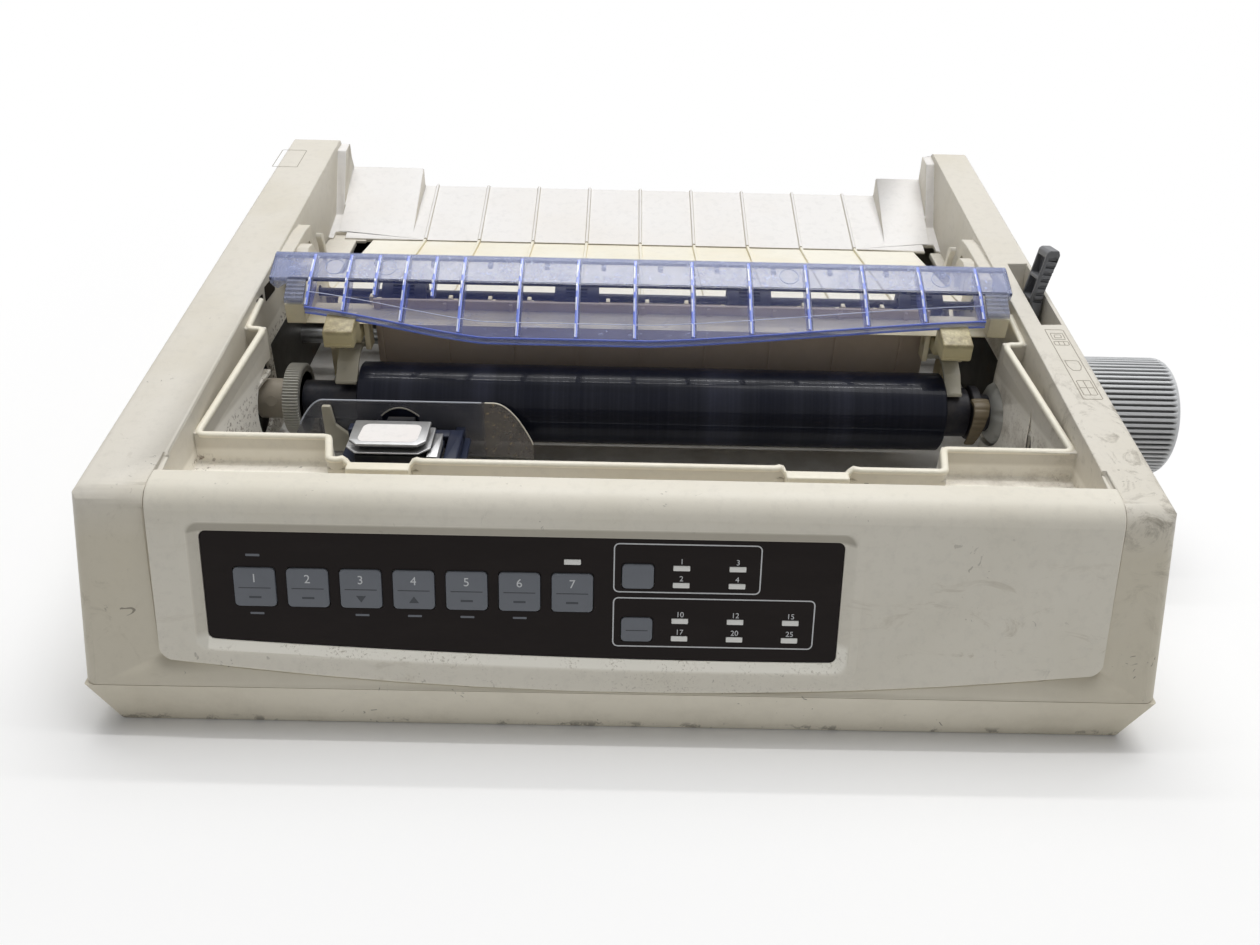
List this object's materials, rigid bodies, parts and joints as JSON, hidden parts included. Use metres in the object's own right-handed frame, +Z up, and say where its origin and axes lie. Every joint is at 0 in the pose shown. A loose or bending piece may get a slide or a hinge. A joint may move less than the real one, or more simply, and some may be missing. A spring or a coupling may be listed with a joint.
{
  "type": "dot matrix printer",
  "caption": "Desktop impact printer with its access cover off: cream case, knob and lever at the right, clear hinged paper cover, platen, print head on its carriage and a key panel.",
  "frame": {"origin": "middle of the case's footprint, on the surface it stands on", "axes": "+X to the right, the side of the platen knob; +Y to the back; +Z up"},
  "size_m": [0.4395, 0.3486, 0.1249],
  "materials": {
    "case_plastic": "fine matt texture, aged",
    "panel_plastic": "fine matt texture",
    "foot_rubber": "matt",
    "overlay_plastic": "satin film",
    "lamp_plastic": "clear over white",
    "circuit_board": "coated board",
    "key_plastic": "satin",
    "plated_steel": "zinc plated sheet",
    "white_plastic": "natural nylon",
    "polished_steel": "ground bar",
    "belt_rubber": "matt",
    "motor_paint": "black enamel",
    "turned_aluminium": "satin",
    "pinion_brass": "machined",
    "gear_plastic": "moulded",
    "platen_rubber": "ground, slightly shiny",
    "black_plastic": "satin",
    "translucent_plastic": "milky",
    "knob_plastic": "ribbed, satin",
    "tan_plastic": "worn",
    "head_metal": "black",
    "smoke_plastic": "smoke tinted, clear",
    "cream_plastic": "aged cream",
    "chute_plastic": "satin",
    "roller_rubber": "matt",
    "clear_blue_plastic": "clear with a blue tint",
    "yellow_plastic": "aged",
    "finger_plastic": "satin",
    "lever_plastic": "satin",
    "connector_metal": "plated shell"
  },
  "bodies": {
    "printer": {"lower_case": "case_plastic", "upper_case": "case_plastic", "case_feet": "foot_rubber", "front_panel": "panel_plastic", "control_overlay": "overlay_plastic", "indicator_lamps": "lamp_plastic", "control_board": "circuit_board", "left_side_frame": "plated_steel", "right_side_frame": "plated_steel", "bed_plate": "plated_steel", "platen_bushes": "white_plastic", "guide_shaft": "polished_steel", "timing_belt": "belt_rubber", "carriage_motor": "motor_paint", "line_feed_motor": "motor_paint", "motor_bracket": "plated_steel", "paper_guide": "cream_plastic", "paper_chute": "chute_plastic", "left_paper_finger": "finger_plastic", "right_paper_finger": "finger_plastic", "tractor_shafts": "polished_steel", "main_board": "circuit_board", "power_transformer": "motor_paint", "power_inlet": "black_plastic", "data_connector": "connector_metal", "screws": "polished_steel"},
    "platen": {"platen_roller": "platen_rubber", "platen_shaft": "polished_steel", "platen_gear": "gear_plastic", "platen_knob": "knob_plastic", "platen_collars": "black_plastic", "drive_coupling": "translucent_plastic"},
    "idler": {"idler_gear": "white_plastic"},
    "pinion": {"motor_pinion": "pinion_brass"},
    "left_pulley": {"drive_pulley": "turned_aluminium"},
    "right_pulley": {"return_pulley": "white_plastic"},
    "carriage": {"carriage_frame": "black_plastic", "print_head": "head_metal", "head_plates": "turned_aluminium", "ribbon_shield": "smoke_plastic"},
    "pull_up_roller": {"pull_up_shaft": "black_plastic", "pull_up_rollers": "roller_rubber"},
    "cover": {"clear_cover": "clear_blue_plastic"},
    "left_cover_latch": {"left_latch": "yellow_plastic"},
    "right_cover_latch": {"right_latch": "yellow_plastic"},
    "path_lever": {"paper_lever": "lever_plastic"},
    "lock_lever": {"platen_lock_lever": "tan_plastic"},
    "left_feed": {"left_tractor": "black_plastic"},
    "right_feed": {"right_tractor": "black_plastic"},
    "rocker": {"power_switch": "black_plastic"},
    "key_1": {"key_1": "key_plastic"},
    "key_2": {"key_2": "key_plastic"},
    "key_3": {"key_3": "key_plastic"},
    "key_4": {"key_4": "key_plastic"},
    "key_5": {"key_5": "key_plastic"},
    "key_6": {"key_6": "key_plastic"},
    "key_7": {"key_7": "key_plastic"},
    "key_8": {"key_8": "key_plastic"},
    "key_9": {"key_9": "key_plastic"}
  },
  "joints": [
    {"name": "platen_spin", "type": "hinge", "parent": "printer", "child": "platen", "pos_m": [0, -0.033, 0.062], "axis": [1, 0, 0], "continuous": true},
    {"name": "idler_spin", "type": "hinge", "parent": "printer", "child": "idler", "pos_m": [-0.1482, -0.01315, 0.03834], "axis": [1, 0, 0], "continuous": true},
    {"name": "pinion_spin", "type": "hinge", "parent": "printer", "child": "pinion", "pos_m": [-0.1482, 0.00026, 0.03061], "axis": [1, 0, 0], "continuous": true},
    {"name": "carriage_slide", "type": "slide", "parent": "printer", "child": "carriage", "axis": [1, 0, 0], "range_m": [0, 0.205]},
    {"name": "drive_pulley_spin", "type": "hinge", "parent": "printer", "child": "left_pulley", "pos_m": [-0.1425, -0.101, 0.038], "axis": [0, 0, 1], "range_deg": [0, 1703]},
    {"name": "return_pulley_spin", "type": "hinge", "parent": "printer", "child": "right_pulley", "pos_m": [0.1515, -0.101, 0.038], "axis": [0, 0, 1], "range_deg": [0, 1703]},
    {"name": "pull_up_spin", "type": "hinge", "parent": "printer", "child": "pull_up_roller", "pos_m": [0.008, 0.003, 0.098], "axis": [1, 0, 0], "continuous": true},
    {"name": "clear_cover_swing", "type": "hinge", "parent": "printer", "child": "cover", "pos_m": [0.008, 0.01, 0.105], "axis": [-1, 0, 0], "range_deg": [0, 65]},
    {"name": "left_latch_swing", "type": "hinge", "parent": "printer", "child": "left_cover_latch", "pos_m": [-0.125, -0.0173, 0.09], "axis": [1, 0, 0], "range_deg": [0, 10], "stiffness_Nm_per_rad": 0.05, "springref_deg": -3.44},
    {"name": "right_latch_swing", "type": "hinge", "parent": "printer", "child": "right_cover_latch", "pos_m": [0.1425, -0.0173, 0.09], "axis": [1, 0, 0], "range_deg": [0, 10], "stiffness_Nm_per_rad": 0.05, "springref_deg": -3.44},
    {"name": "paper_lever_swing", "type": "hinge", "parent": "printer", "child": "path_lever", "pos_m": [0.1863, -0.0015, 0.056], "axis": [1, 0, 0], "range_deg": [0, 25]},
    {"name": "lock_lever_swing", "type": "hinge", "parent": "printer", "child": "lock_lever", "pos_m": [0.1559, -0.033, 0.062], "axis": [1, 0, 0], "range_deg": [0, 40]},
    {"name": "left_tractor_slide", "type": "slide", "parent": "printer", "child": "left_feed", "axis": [1, 0, 0], "range_m": [-0.012, 0.1]},
    {"name": "right_tractor_slide", "type": "slide", "parent": "printer", "child": "right_feed", "axis": [1, 0, 0], "range_m": [-0.1, 0.02]},
    {"name": "power_switch_rock", "type": "hinge", "parent": "printer", "child": "rocker", "pos_m": [-0.16, 0.1665, 0.046], "axis": [-1, 0, 0], "range_deg": [0, 16]},
    {"name": "key_1_press", "type": "slide", "parent": "printer", "child": "key_1", "axis": [0, 0.9582, -0.2861], "range_m": [0, 0.0008], "stiffness_N_per_m": 400, "springref_m": -0.0006},
    {"name": "key_2_press", "type": "slide", "parent": "printer", "child": "key_2", "axis": [0, 0.9582, -0.2861], "range_m": [0, 0.0008], "stiffness_N_per_m": 400, "springref_m": -0.0006},
    {"name": "key_3_press", "type": "slide", "parent": "printer", "child": "key_3", "axis": [0, 0.9582, -0.2861], "range_m": [0, 0.0008], "stiffness_N_per_m": 400, "springref_m": -0.0006},
    {"name": "key_4_press", "type": "slide", "parent": "printer", "child": "key_4", "axis": [0, 0.9582, -0.2861], "range_m": [0, 0.0008], "stiffness_N_per_m": 400, "springref_m": -0.0006},
    {"name": "key_5_press", "type": "slide", "parent": "printer", "child": "key_5", "axis": [0, 0.9582, -0.2861], "range_m": [0, 0.0008], "stiffness_N_per_m": 400, "springref_m": -0.0006},
    {"name": "key_6_press", "type": "slide", "parent": "printer", "child": "key_6", "axis": [0, 0.9582, -0.2861], "range_m": [0, 0.0008], "stiffness_N_per_m": 400, "springref_m": -0.0006},
    {"name": "key_7_press", "type": "slide", "parent": "printer", "child": "key_7", "axis": [0, 0.9582, -0.2861], "range_m": [0, 0.0008], "stiffness_N_per_m": 400, "springref_m": -0.0006},
    {"name": "key_8_press", "type": "slide", "parent": "printer", "child": "key_8", "axis": [0, 0.9582, -0.2861], "range_m": [0, 0.0008], "stiffness_N_per_m": 400, "springref_m": -0.0006},
    {"name": "key_9_press", "type": "slide", "parent": "printer", "child": "key_9", "axis": [0, 0.9582, -0.2861], "range_m": [0, 0.0008], "stiffness_N_per_m": 400, "springref_m": -0.0006}
  ],
  "couplings": [
    {"joint": "idler_spin", "follows": "platen_spin", "ratio": -1.9333},
    {"joint": "pinion_spin", "follows": "platen_spin", "ratio": 4.1429},
    {"joint": "drive_pulley_spin", "follows": "carriage_slide", "rad_per_m": 144.93},
    {"joint": "return_pulley_spin", "follows": "carriage_slide", "rad_per_m": 144.93}
  ]
}
